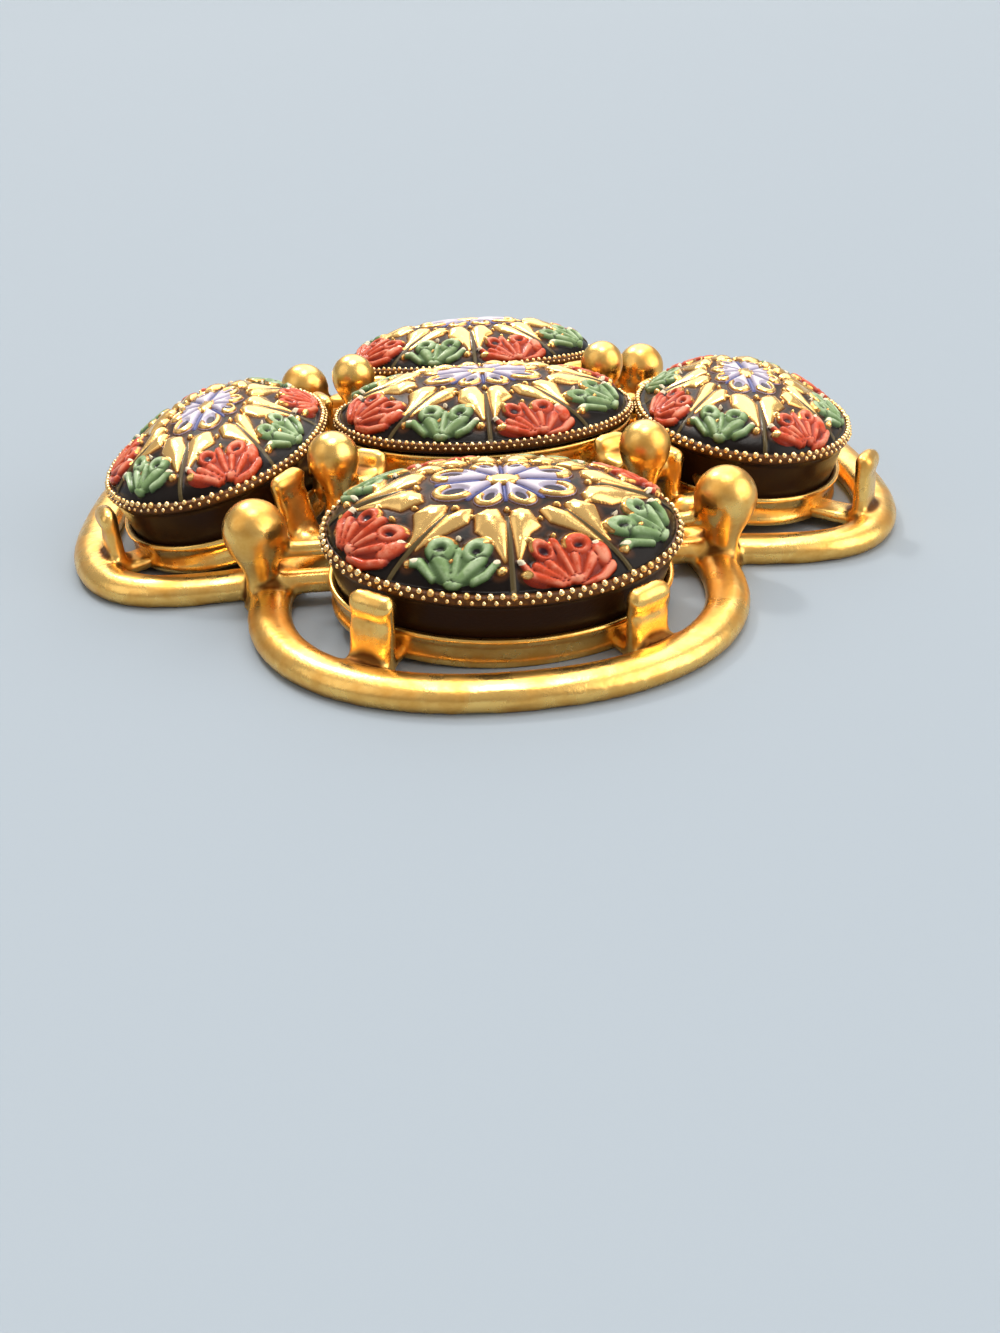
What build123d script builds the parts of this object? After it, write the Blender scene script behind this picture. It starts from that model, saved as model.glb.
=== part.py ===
from build123d import *
from math import atan2, cos, degrees, hypot, pi, radians, sin
import os

os.makedirs("parts", exist_ok=True)

# The brooch lies on its back: Z up from the plane it rests on, X and Y along the cross.
# All lengths are millimetres and all angles degrees unless a note says otherwise.

# The five oval cabochons
stone_length = 25.0
stone_width = 18.0
dome_rise = 3.3
rim_inset = 0.5         # from the rim's edge to the foot of the dome
rim_rise = 0.35
rim_drop = 0.45
rim_round = 0.3
wall_taper = 1.0        # how much the dark side wall draws in from rim to foot
outer_wall = 4.35       # rim plane to foot, on the four outer cabochons
centre_wall = 1.2
relief_rise = 0.35

# Where they sit
side_gap = 0.3          # between the centre rim and the left and right ones
end_gap = 2.8           # between the centre rim and the front and back ones
centre_lift = 1.45      # the centre rim above the outer ones
outer_tilt = 9.0        # outer edge down
back_trim = 0.25        # what the back plane takes off the tilted settings
seat_trims = {
    # Uneven seats of a hand-soldered piece: direction of the arm in x and y, shift in x, y and z,
    # more or less tilt, lean of the long axis, turn seen from above
    "front": (0, -1, 0.05, -0.35, 0.1, -0.9, 1.9, 0.0),
    "back": (0, 1, 0.3, -0.05, 0.0, 1.0, -0.6, 0.7),
    "left": (-1, 0, 0.05, -1.1, 0.35, -0.5, -0.7, -6.0),
    "right": (1, 0, 0.5, 0.5, -0.2, -4.5, 0.8, -6.0),
    "centre": (0, 0, 0.25, -0.05, 0.0, 0.0, 0.0, 0.0),
}

# Oval settings under the cabochons
seat_depth = 0.6        # how far a cabochon's foot sinks into its setting
seat_gap = 0.05
setting_height = 1.8
setting_wall = 0.35
lip_height = 0.45
lip_reach = 0.15
centre_lip_reach = 0.5  # the centre setting closes up under its rim

# Claws: straps that rise from the settings to the rims
claw_width = 2.8
claw_thickness = 0.95
claw_gap = 0.3
claw_drop = 0.2         # rim plane down to the claw top
claw_lean = 0.7         # how much further out an outer claw stands at its foot
claw_round = 0.3
claw_share = 0.72       # claw position along the half length of the cabochon
claw_splay = 30.0       # between a claw's outward direction and the short axis
toe_length = 2.6        # foot that ties an outer claw to the wire
toe_height = 1.0

# Wire lobes round the outer cabochons
wire_width = 3.2
wire_height = 1.9
wire_side = 0.75        # height of the wire's upright lower side
wire_foot = 0.25        # how much the side draws in at the back plane
end_margin = 3.2        # outermost rim to the wire's centre line, front and back
side_margin = 1.6       # the same, left and right
end_widening = 4.0      # half width of a front or back lobe beyond the cabochon's half length
side_widening = 2.8
end_shoulder = -2.3     # where a lobe is widest, beyond the middle of its cabochon
side_shoulder = 1.5
end_fullness = 2.25     # exponent of the lobe's oval
side_fullness = 2.6
end_turn = 0.25         # radians that the wire runs on past the shoulder, on a longer oval
side_turn = 0.33
end_tail = 14.0         # half length of that oval
side_tail = 18.0
lobe_points = 21

# Ball posts at the four inner corners of the cross
outer_ball = 2.1
inner_ball = 1.85
ball_leave = 15.0       # how far below its equator a ball runs into its stem, in degrees
stem_waist = (0.68, 1.26)   # stem radius and drop below the ball's centre, in ball radii
stem_neck = (0.50, 1.86)
posts = [
    # corner, beyond the cabochons' ends in x and y, height over the outer rims, ball radius
    ("front_left_outer", 5.0, 4.5, -0.55, outer_ball),
    ("front_right_outer", 4.3, 4.0, -0.55, outer_ball),
    ("back_left_outer", 3.5, 4.4, -0.55, outer_ball),
    ("back_right_outer", 4.2, 4.4, -0.55, outer_ball),
    ("front_left_inner", -0.7, -2.2, 2.15, inner_ball),
    ("front_right_inner", -0.8, -0.9, 1.95, inner_ball),
    ("back_left_inner", -1.6, -1.3, 1.95, inner_ball),
    ("back_right_inner", -0.6, -1.9, 1.95, inner_ball),
]

# Struts that tie the corners together, and the rungs from each outer post to its settings
strut_radius = 1.3
strut_height = 1.5
strut_in = 0.68         # where a strut meets the centre setting, as a share of its half axes
rung_radius = 0.95
rung_height = 1.7
upper_rung_radius = 0.65
upper_rung_height = 4.25
rung_in = 0.6           # how far a rung reaches under a cabochon, as a share of its half length

# Pin, one plain piece
pin_margin = 0.4        # plate end beyond the centre setting
pin_gap = 0.05
pin_plate_width = 3.2
pin_plate_thickness = 0.8
pin_block = 2.4
pin_radius = 0.45
pin_height = 1.0        # back plane to the middle of the stem
pin_overhang = 1.4      # stem beyond its block, up to the point
pin_point = 2.0
pin_tip_radius = 0.1

half_long = stone_length / 2
half_wide = stone_width / 2
foot_long = half_long - wall_taper
foot_wide = half_wide - wall_taper
cross_x = half_long + side_gap + half_wide
cross_y = half_wide + end_gap + half_wide
setting_wide = foot_wide + seat_gap + setting_wall
setting_drop = outer_wall - seat_depth + setting_height
tilt = radians(outer_tilt)
rim_height = setting_drop * cos(tilt) + setting_wide * sin(tilt) - back_trim

# Evenly spaced steps round the oval rim, eight to the turn: the lead and the trim,
# in radians, turn equal angles into near-equal lengths of rim
steps = 8
end_lead = 0.06
end_trim = 0.01

# The gold wings round one flower: corners of the one on its right, as (steps from the
# flower's axis, share of the radius)
wing = [(0.06, 0.46), (0.38, 0.45), (0.45, 0.76), (0.31, 0.60)]

# Lobes of the flowers and the daisy: across (steps), share of the radius, half length
# (share of the radius), half width (steps), lean from the radial direction
rose = [
    (-0.18, 0.73, 0.082, 0.130, 0),
    (0.20, 0.73, 0.076, 0.160, 0),
    (0.34, 0.83, 0.080, 0.120, 0),
    (0.00, 0.84, 0.090, 0.300, 0),
    (-0.34, 0.86, 0.035, 0.120, 0),
]
tulip = [
    (-0.20, 0.73, 0.085, 0.160, 0),
    (0.15, 0.72, 0.088, 0.150, 0),
    (0.00, 0.84, 0.080, 0.250, 0),
    (-0.32, 0.85, 0.060, 0.045, 60),
    (0.32, 0.84, 0.060, 0.045, -60),
]
daisy_petal = (0.00, 0.24, 0.12, 0.27, 0)
boss_share = 0.08


def bearing(step):
    turn = 2 * pi * step / steps
    return turn + end_lead * sin(2 * turn) + end_trim * sin(4 * turn)


def on_dome(step, share):
    angle = bearing(step)
    return share * half_long * cos(angle), share * half_wide * sin(angle)


def lobe_oval(axis_step, lobe):
    # Centre, half length, half width and turn of one lobe beside the axis of a flower
    across, share, half_length, half_width, lean = lobe
    x, y = on_dome(axis_step + across, share)
    outward = on_dome(axis_step, 1)
    ahead = on_dome(axis_step + 0.5, share)
    behind = on_dome(axis_step - 0.5, share)
    step_length = hypot(ahead[0] - behind[0], ahead[1] - behind[1])
    turn = degrees(atan2(outward[1], outward[0])) + lean
    return x, y, half_length * hypot(*outward), half_width * step_length, turn


def half_ellipsoid(rise):
    # A dome over the rim's oval, its flat side on the rim plane
    long, wide = half_long - rim_inset, half_wide - rim_inset
    ball = scale(Sphere(1, mode=Mode.PRIVATE), by=(long, wide, rise), mode=Mode.PRIVATE)
    return split(ball, bisect_by=Plane.XY, keep=Keep.TOP, mode=Mode.PRIVATE)


def crown():
    # Raised ornament: upright pads cut off by a slightly higher dome
    with BuildPart() as relief:
        with BuildSketch():
            Ellipse(boss_share * half_long, boss_share * half_wide)
            for index in range(steps):
                axis_step = index + 0.5
                flower = rose if index % 2 == 0 else tulip
                for lobe in flower + [daisy_petal]:
                    x, y, half_length, half_width, turn = lobe_oval(axis_step, lobe)
                    with Locations((x, y)):
                        Ellipse(half_length, half_width, rotation=turn)
                for outline in (wing, [(-across, share) for across, share in reversed(wing)]):
                    corners = [on_dome(axis_step + across, share) for across, share in outline]
                    with BuildLine():
                        Polyline(*corners, close=True)
                    make_face()
        extrude(amount=dome_rise + 2 * relief_rise)
        add(half_ellipsoid(dome_rise + relief_rise), mode=Mode.INTERSECT)
    # The rounded rim band and the dome inside it
    with BuildPart() as top:
        with BuildSketch(Plane.XY.offset(-rim_drop)):
            Ellipse(half_long, half_wide)
        extrude(amount=rim_drop + rim_rise)
        fillet(top.edges().filter_by(GeomType.ELLIPSE), radius=rim_round)
        add(half_ellipsoid(dome_rise))
        add(relief.part)
    return top.part


def cabochon(wall, top):
    # Tapering side wall on a short upright foot, which sits in the setting's pocket
    with BuildPart() as stone:
        with BuildSketch(Plane.XY.offset(-wall)):
            Ellipse(foot_long, foot_wide)
        extrude(amount=seat_depth)
        with BuildSketch(Plane.XY.offset(seat_depth - wall)):
            Ellipse(foot_long, foot_wide)
        with BuildSketch(Plane.XY):
            Ellipse(half_long - rim_round, half_wide - rim_round)
        loft()
        add(top)
    return stone.part


def stone_room(wall):
    # What the metal leaves free for a cabochon: the pocket for its foot, and a gap round it
    with BuildPart() as room:
        with BuildSketch(Plane.XY.offset(-wall - seat_gap)):
            Ellipse(foot_long + seat_gap, foot_wide + seat_gap)
        extrude(amount=seat_depth + seat_gap)
        with BuildSketch(Plane.XY.offset(seat_depth - wall)):
            Ellipse(foot_long + seat_gap, foot_wide + seat_gap)
        with BuildSketch(Plane.XY.offset(-rim_drop)):
            Ellipse(half_long + claw_gap, half_wide + claw_gap)
        loft()
        with BuildSketch(Plane.XY.offset(-rim_drop)):
            Ellipse(half_long + claw_gap, half_wide + claw_gap)
        extrude(amount=rim_drop + dome_rise)
    return room.part


def setting(wall, reach):
    # Shallow oval cup with a thin lip round its top
    foot = seat_gap + setting_wall
    top = seat_depth - wall
    with BuildPart() as cup:
        with BuildSketch(Plane.XY.offset(top - setting_height)):
            Ellipse(foot_long + foot, foot_wide + foot)
        extrude(amount=setting_height)
        with BuildSketch(Plane.XY.offset(top - lip_height)):
            Ellipse(foot_long + foot + reach, foot_wide + foot + reach)
        extrude(amount=lip_height)
    return cup.part


def claw(wall, side, end, toe):
    # One strap in the cabochon's own frame: side and end are the signs of its corner, and
    # toe is the length of the foot that it sends out to the wire
    corner_x = claw_share * half_long
    corner_y = half_wide * (1 - claw_share**2) ** 0.5
    outward = (end * sin(radians(claw_splay)), side * cos(radians(claw_splay)), 0)
    profile_plane = Plane(origin=(end * corner_x, side * corner_y, 0), x_dir=outward,
                          z_dir=Vector(*outward).cross(Vector(0, 0, 1)))
    inner = claw_gap
    outer = claw_gap + claw_thickness
    bottom = seat_depth - wall - setting_height
    ledge = bottom + setting_height - lip_height
    lean = claw_lean if toe else 0
    with BuildPart() as strap:
        with BuildSketch(profile_plane) as profile:
            with BuildLine():
                Polyline((-wall_taper, bottom), (outer + lean, bottom), (outer, -claw_drop),
                         (inner, -claw_drop), (inner, ledge), (-wall_taper, ledge), close=True)
            make_face()
            fillet(profile.vertices().group_by(Axis.Y)[-1], radius=claw_round)
        extrude(amount=claw_width / 2, both=True)
        if toe:
            with BuildSketch(profile_plane):
                with Locations((0, bottom)):
                    Rectangle(outer + toe, toe_height, align=(Align.MIN, Align.MIN))
            extrude(amount=claw_width / 2, both=True)
    return strap.part


def seat_plane(arm_x, arm_y, shift_x, shift_y, shift_z, more_tilt, lean, turn):
    # Rim plane of one cabochon: level at the centre, else tilted with its outer edge down
    at_centre = arm_x == 0 and arm_y == 0
    height = rim_height + shift_z + (centre_lift if at_centre else 0)
    middle = (arm_x * cross_x + shift_x, arm_y * cross_y + shift_y, height)
    level = Location(middle, (0, 0, 90 if arm_x else 0))
    side_tilt = 0 if at_centre else (arm_x - arm_y) * (outer_tilt + more_tilt)
    return Plane(level * Location((0, 0, 0), (side_tilt, lean, turn)))


seats = {place: seat_plane(*trim) for place, trim in seat_trims.items()}


def spread(value, exponent):
    return (abs(value) ** exponent) * (1 if value >= 0 else -1)


def lobe_line(half, shoulder, reach, fullness, tail_turn, tail):
    # Points of a lobe's centre line: a full oval outside its shoulders, and at each end a
    # longer oval that carries the wire on to the corner post
    points = []
    for index in range(lobe_points):
        turn = -tail_turn + (pi + 2 * tail_turn) * index / (lobe_points - 1)
        if sin(turn) >= 0:
            across = half * spread(cos(turn), 2 / fullness)
            out = shoulder + (reach - shoulder) * spread(sin(turn), 2 / fullness)
        else:
            across = half * cos(turn)
            out = shoulder + tail * sin(turn)
        points.append((across, out))
    return points


def wire(points):
    # Wire of domed section swept along a centre line on the back plane
    with BuildPart() as lobe:
        with BuildLine() as route:
            Spline(*[(x, y, 0) for x, y in points])
        start = Plane(origin=route.line @ 0, z_dir=route.line % 0, x_dir=(0, 0, 1))
        with BuildSketch(start):
            with BuildLine():
                half = wire_width / 2
                lower = half - wire_foot
                side = Polyline((wire_side, -half), (0, -lower), (0, lower), (wire_side, half))
                EllipticalCenterArc((wire_side, 0), wire_height - wire_side, half, -90, arc_size=180)
            make_face()
        sweep(path=route.line)
    return lobe.part


def rod(start, finish, radius):
    # Round bar with ball ends
    with BuildPart() as bar:
        direction = Vector(*finish) - Vector(*start)
        with BuildSketch(Plane(origin=start, z_dir=direction)):
            Circle(radius)
        extrude(amount=direction.length)
        with Locations(start, finish):
            Sphere(radius)
    return bar.part


def ball_post(x, y, height, radius):
    # Ball that runs into a stem like a drop, down to the back plane
    waist = (stem_waist[0] * radius, height - stem_waist[1] * radius)
    neck = (stem_neck[0] * radius, height - stem_neck[1] * radius)
    leave = radians(ball_leave)
    shoulder = (radius * cos(leave), height - radius * sin(leave))
    with BuildPart() as post:
        with BuildSketch(Plane.XZ):
            with BuildLine():
                Spline(shoulder, waist, neck, tangents=[(-sin(leave), -cos(leave)), (0, -1)])
                Polyline(neck, (neck[0], 0), (0, 0), (0, height), shoulder)
            make_face()
        revolve(axis=Axis.Z)
        with Locations((0, 0, height)):
            Sphere(radius)
    return post.part.moved(Location((x, y, 0)))


def corner(name, beyond_x, beyond_y):
    # Place of a corner post, from the ends of the cabochons that it stands between
    x_sign = -1 if "left" in name else 1
    y_sign = -1 if "front" in name else 1
    return x_sign * (half_long + beyond_x), y_sign * (half_long + beyond_y)


places = {name: corner(name, beyond_x, beyond_y) for name, beyond_x, beyond_y, rise, radius in posts}


def midway(first, second, axis):
    return (places[first][axis] + places[second][axis]) / 2


front_x = midway("front_left_outer", "front_right_outer", 0)
back_x = midway("back_left_outer", "back_right_outer", 0)
end_lobe = lobe_line(half_long + end_widening, cross_y + end_shoulder,
                     cross_y + half_wide + end_margin, end_fullness, end_turn, end_tail)
side_lobe = lobe_line(half_long + side_widening, cross_x + side_shoulder,
                      cross_x + half_wide + side_margin, side_fullness, side_turn, side_tail)
lobes = [
    [(across + front_x, -out) for across, out in end_lobe],
    [(across + back_x, out) for across, out in end_lobe],
    [(-out, across) for across, out in side_lobe],
    [(out, across) for across, out in side_lobe],
]

metal = []
rooms = []
for place, seat in seats.items():
    wall, reach = (centre_wall, centre_lip_reach) if place == "centre" else (outer_wall, lip_reach)
    rooms.append(seat.location * stone_room(wall))
    metal.append(seat.location * setting(wall, reach))
    outward = seat.y_dir.dot(Vector(seat.origin.X, seat.origin.Y, 0))
    for side in (-1, 1):
        toe = toe_length if side * outward > 0 else 0
        for end in (-1, 1):
            metal.append(seat.location * claw(wall, side, end, toe))
metal += [wire(points) for points in lobes]
for name, beyond_x, beyond_y, rise, radius in posts:
    metal.append(ball_post(*places[name], rim_height + rise, radius))

centre_bottom = rim_height + centre_lift - centre_wall + seat_depth - setting_height
rungs = ((rung_height, rung_radius), (upper_rung_height, upper_rung_radius))
for front_side, y_sign in (("front", -1), ("back", 1)):
    for left_side, x_sign in (("left", -1), ("right", 1)):
        outer_x, outer_y = places[f"{front_side}_{left_side}_outer"]
        inner_x, inner_y = places[f"{front_side}_{left_side}_inner"]
        outer = (outer_x, outer_y, strut_height)
        inner = (inner_x, inner_y, strut_height)
        centre_edge = (x_sign * strut_in * foot_long, y_sign * strut_in * foot_wide, centre_bottom)
        metal.append(rod(outer, inner, strut_radius))
        metal.append(rod(inner, centre_edge, strut_radius))
        for height, radius in rungs:
            start = (outer_x, outer_y, height)
            metal.append(rod(start, (x_sign * rung_in * half_long, outer_y, height), radius))
            metal.append(rod(start, (outer_x, y_sign * rung_in * half_long, height), radius))

# The soldered metal: settings, claws, wire lobes, posts, struts and rungs in one solid, its
# back cut off in one plane
with BuildPart() as frame:
    add(metal)
    add(rooms, mode=Mode.SUBTRACT)
    split(bisect_by=Plane.XY, keep=Keep.TOP)
frame.part.label = "frame"
export_step(frame.part, "parts/frame.step")

stone_top = crown()
outer_stone = cabochon(outer_wall, stone_top)
centre_stone = cabochon(centre_wall, stone_top)
for place, seat in seats.items():
    with BuildPart() as stone:
        add(seat.location * (centre_stone if place == "centre" else outer_stone))
    stone.part.label = f"cabochon_{place}"
    export_step(stone.part, f"parts/cabochon_{place}.step")

# Pin: a plate under the centre setting, a block at each end and a pointed stem through both
plate_half = foot_long + seat_gap + setting_wall + pin_margin
plate_bottom = centre_bottom - pin_gap - pin_plate_thickness
block_x = plate_half - pin_block / 2
block_bottom = pin_height - 2 * pin_radius
with BuildPart() as pin:
    with BuildSketch(Plane.XY.offset(plate_bottom)):
        RectangleRounded(2 * plate_half, pin_plate_width, pin_plate_width / 3)
    extrude(amount=pin_plate_thickness)
    with BuildSketch(Plane.XY.offset(block_bottom)):
        with Locations((-block_x, 0), (block_x, 0)):
            RectangleRounded(pin_block, pin_block, pin_block / 4)
    extrude(amount=plate_bottom - block_bottom + pin_plate_thickness / 2)
    stem_end = block_x + pin_block / 2 + pin_overhang
    with BuildSketch(Plane.YZ.offset(-block_x)):
        with Locations((0, pin_height)):
            Circle(pin_radius)
    extrude(amount=block_x + stem_end)
    with BuildSketch(Plane.YZ.offset(stem_end)):
        with Locations((0, pin_height)):
            Circle(pin_radius)
    with BuildSketch(Plane.YZ.offset(stem_end + pin_point)):
        with Locations((0, pin_height)):
            Circle(pin_tip_radius)
    loft()
pin.part.label = "pin"
export_step(pin.part, "parts/pin.step")
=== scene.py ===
import bpy
import numpy as np
from mathutils import Matrix, Vector


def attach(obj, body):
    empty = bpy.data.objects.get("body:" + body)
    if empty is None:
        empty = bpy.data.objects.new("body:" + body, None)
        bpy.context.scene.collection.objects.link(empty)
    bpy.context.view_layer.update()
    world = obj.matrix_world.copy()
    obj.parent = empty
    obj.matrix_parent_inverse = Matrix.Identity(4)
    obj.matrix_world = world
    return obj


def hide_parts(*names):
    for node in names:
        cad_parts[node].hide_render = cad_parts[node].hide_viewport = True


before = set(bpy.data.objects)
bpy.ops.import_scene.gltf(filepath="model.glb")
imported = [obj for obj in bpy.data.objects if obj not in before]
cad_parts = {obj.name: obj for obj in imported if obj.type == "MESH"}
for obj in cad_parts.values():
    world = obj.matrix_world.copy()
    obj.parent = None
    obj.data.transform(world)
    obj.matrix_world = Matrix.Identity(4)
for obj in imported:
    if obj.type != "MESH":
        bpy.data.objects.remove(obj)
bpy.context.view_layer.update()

stage = bpy.context.scene
# Lengths are in millimetres and turn into metres when a mesh is made.
# The brooch lies on its back at z = 0, with x and y along the arms of the cross.
metre = 0.001
nowhere = -9.0  # depth of a paint where it doesn't lie

stone = {
    "halfLong": 12.5, "halfWide": 9.0,  # oval rim of a cabochon
    "domeRise": 3.3, "rimInset": 0.5, "rimRise": 0.35, "rimOverlap": 0.02, "reliefFade": 0.03,
    "longPower": 0.5, "shortPower": 0.86,  # the dome falls faster across its short side
    "fuller": {"front": (0.4, 0.08), "back": (0.4, 0.08)},  # added to the rise and the short power
    "wallTaper": 1.0, "wallRows": 8, "outerWall": 4.35, "centreWall": 1.2, "seatDepth": 0.6,
    # Band round the rim as (inset from its edge, height), from the dome down
    "band": [(0.50, 0.33), (0.40, 0.35), (0.26, 0.35), (0.12, 0.28), (0.03, 0.16), (0.0, 0.0),
             (0.0, -0.15), (0.05, -0.30), (0.16, -0.40), (0.30, -0.45)],
    "beadedRows": 7,  # rows of the band that lie under the beads
    "foot": [(0.0, 0.3), (0.0, 0.05), (0.1, 0.0)],  # inset past the taper, height over the foot
}
halfLong, halfWide = stone["halfLong"], stone["halfWide"]
footLong, footWide = halfLong - stone["wallTaper"], halfWide - stone["wallTaper"]
seats = {
    # Middle of the rim, way of the long axis, then tilt about it, its lean and its turn in degrees
    "front": ((0.05, -21.15, 6.6457), 0, (8.1, 1.9, 0.0)),
    "back": ((0.3, 20.75, 6.5457), 0, (-10.0, -0.6, 0.7)),
    "left": ((-21.75, -1.1, 6.8957), 90, (-8.5, -0.7, -6.0)),
    "right": ((22.3, 0.5, 6.3457), 90, (4.5, 0.8, -6.0)),
    "centre": ((0.25, -0.05, 7.9957), 0, (0.0, 0.0, 0.0)),
}


def seatOf(place):
    # Middle of a rim and its axes as rows: long, short and normal
    middle, way, angles = seats[place]
    turned = Matrix.Rotation(np.radians(way), 3, "Z")
    for axis, angle in zip("XYZ", angles):
        turned = turned @ Matrix.Rotation(np.radians(angle), 3, axis)
    return np.array(middle), np.array(turned.transposed())


def placed(points, place):
    middle, axes = seatOf(place)
    return middle + points @ axes


def wallOf(place):
    return stone["centreWall"] if place == "centre" else stone["outerWall"]


# Meshes from arrays
def unit(vectors):
    return vectors / np.linalg.norm(vectors, axis=-1, keepdims=True)


def circle(count):
    return np.linspace(0, 2 * np.pi, count, endpoint=False)


def ovalRings(longs, wides, levels, turn):
    # One level oval for each half length, half width and level
    return np.stack([longs[:, None] * np.cos(turn), wides[:, None] * np.sin(turn),
                     np.repeat(levels[:, None], len(turn), 1)], -1)


def lengthAlong(x, y):
    # Length up to each point of a flat line
    return np.concatenate([[0], np.cumsum(np.hypot(np.diff(x), np.diff(y)))])


def ringFaces(rows, columns):
    # Quads of a grid whose columns close into a ring, row after row
    row = np.arange(rows - 1)[:, None] * columns
    first = np.arange(columns)[None, :]
    second = (first + 1) % columns
    quads = np.stack([row + first, row + second, row + columns + second, row + columns + first], -1)
    return quads.reshape(-1, 4)


def closedTube(rings):
    # A fan on the middle of the first and the last ring closes the tube
    rows, columns, _ = rings.shape
    points = np.vstack([rings.reshape(-1, 3), rings[0].mean(0), rings[-1].mean(0)])
    around = np.arange(columns)
    nextOne, last = (around + 1) % columns, (rows - 1) * columns
    fans = [np.stack([nextOne, around, np.full(columns, rows * columns)], -1),
            np.stack([last + around, last + nextOne, np.full(columns, rows * columns + 1)], -1)]
    return points, ringFaces(rows, columns), np.vstack(fans)


def outward(points, quads, fans):
    # Turns all faces round if the volume is negative
    triangles = np.vstack([quads[:, [0, 1, 2]], quads[:, [0, 2, 3]], fans])
    a, b, c = (points[triangles[:, k]] for k in range(3))
    if np.einsum("ij,ij->i", a, np.cross(b, c)).sum() < 0:
        return quads[:, ::-1], fans[:, ::-1]
    return quads, fans


def gather(shells):
    # Several closed shells as one list of points, quads and triangles
    points, quads, fans, start = [], [], [], 0
    for shellPoints, shellQuads, shellFans in shells:
        shellQuads, shellFans = outward(shellPoints, shellQuads, shellFans)
        points.append(shellPoints)
        quads.append(shellQuads + start)
        fans.append(shellFans + start)
        start += len(shellPoints)
    return np.vstack(points), np.vstack(quads), np.vstack(fans)


def addField(mesh, name, values):
    layer = mesh.attributes.new(name, "FLOAT", "POINT")
    layer.data.foreach_set("value", values.astype(np.float32))


def makeMesh(name, points, quads, fans, fields=None):
    mesh = bpy.data.meshes.new(name)
    mesh.vertices.add(len(points))
    mesh.vertices.foreach_set("co", (points * metre).astype(np.float32).ravel())
    corners = np.concatenate([quads.ravel(), fans.ravel()]).astype(np.int32)
    mesh.loops.add(len(corners))
    mesh.loops.foreach_set("vertex_index", corners)
    starts = np.concatenate([np.arange(len(quads)) * 4, len(quads) * 4 + np.arange(len(fans)) * 3])
    mesh.polygons.add(len(starts))
    mesh.polygons.foreach_set("loop_start", starts.astype(np.int32))
    mesh.update(calc_edges=True)
    mesh.shade_smooth()
    for fieldName, values in (fields or {}).items():
        addField(mesh, fieldName, values)
    return mesh


def addObject(name, data):
    made = bpy.data.objects.new(name, data)
    stage.collection.objects.link(made)
    return made


def makePiece(name, mesh, material, slot, *nodes):
    piece = addObject(name, mesh)
    mesh.materials.clear()
    mesh.materials.append(material)
    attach(piece, "root")
    if nodes:
        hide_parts(*nodes)
    print("made", name, "with", len(mesh.vertices), "points")


# Camera at the photograph's angle: place in mm, pitch, roll and yaw in radians, clip in metres
view = {"place": (-4.78, -94.61, 39.11), "turn": (0.53375, -0.04459, 0.05764),
        "focalPixels": 1162.17, "pictureHeight": 1333, "sensor": 36, "clip": (0.005, 60)}


def makeCamera():
    pitch, roll, yaw = view["turn"]
    ahead = Vector((np.sin(yaw) * np.cos(pitch), np.cos(yaw) * np.cos(pitch), -np.sin(pitch)))
    level = Vector((np.cos(yaw), -np.sin(yaw), 0))
    upright = level.cross(ahead)
    side = np.cos(roll) * level + np.sin(roll) * upright
    top = -np.sin(roll) * level + np.cos(roll) * upright
    data = bpy.data.cameras.new("camera")
    data.sensor_width = view["sensor"]
    data.lens = view["sensor"] * view["focalPixels"] / view["pictureHeight"]
    data.clip_start, data.clip_end = view["clip"]
    camera = addObject("camera", data)
    turn = Matrix((side, top, -ahead)).transposed().to_4x4()
    camera.matrix_world = Matrix.Translation(Vector(view["place"]) * metre) @ turn
    stage.camera = camera


makeCamera()
print("camera placed")


# Small helpers for node materials
def newMaterial(name):
    material = bpy.data.materials.new(name)
    material.use_nodes = True
    tree = material.node_tree
    return material, tree, tree.nodes["Principled BSDF"]


def feed(tree, socket, value):
    # Another node's output is linked to the socket; a value is set on it
    if isinstance(value, bpy.types.NodeSocket):
        tree.links.new(value, socket)
    else:
        socket.default_value = value


def feedAll(tree, made, values):
    for name, value in values.items():
        feed(tree, made.inputs[name], value)


def node(tree, kind, **settings):
    # Each setting goes to the input of that name, or else to the node itself
    made = tree.nodes.new("ShaderNode" + kind)
    for key, value in settings.items():
        if key in made.inputs:
            feed(tree, made.inputs[key], value)
        else:
            setattr(made, key, value)
    return made


def noiseOf(tree, place, scale, detail):
    return node(tree, "TexNoise", Vector=place, Scale=scale, Detail=detail, Roughness=0.6).outputs["Fac"]


def ramp(tree, value, low, high, start=0.0, end=1.0):
    # Smooth step of a value from low..high to start..end
    spans = {"From Min": low, "From Max": high, "To Min": start, "To Max": end}
    return node(tree, "MapRange", interpolation_type="SMOOTHSTEP", Value=value, **spans).outputs["Result"]


def blendColour(tree, share, first, second):
    # Mix of two colours; each is a colour value or a socket
    made = node(tree, "Mix", data_type="RGBA", Factor=share)
    for socket, value in zip([s for s in made.inputs if s.type == "RGBA"], (first, second)):
        feed(tree, socket, (*value, 1) if isinstance(value, tuple) else value)
    return next(s for s in made.outputs if s.type == "RGBA")


def calc(tree, operation, first, second):
    made = node(tree, "Math", operation=operation)
    for socket, value in zip(made.inputs, (first, second)):
        feed(tree, socket, value)
    return made.outputs["Value"]


def field(tree, name):
    return node(tree, "Attribute", attribute_name=name).outputs["Fac"]


def bumpOf(tree, height, strength, depth, **under):
    return node(tree, "Bump", Height=height, Strength=strength, Distance=depth,
                **under).outputs["Normal"]


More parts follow.
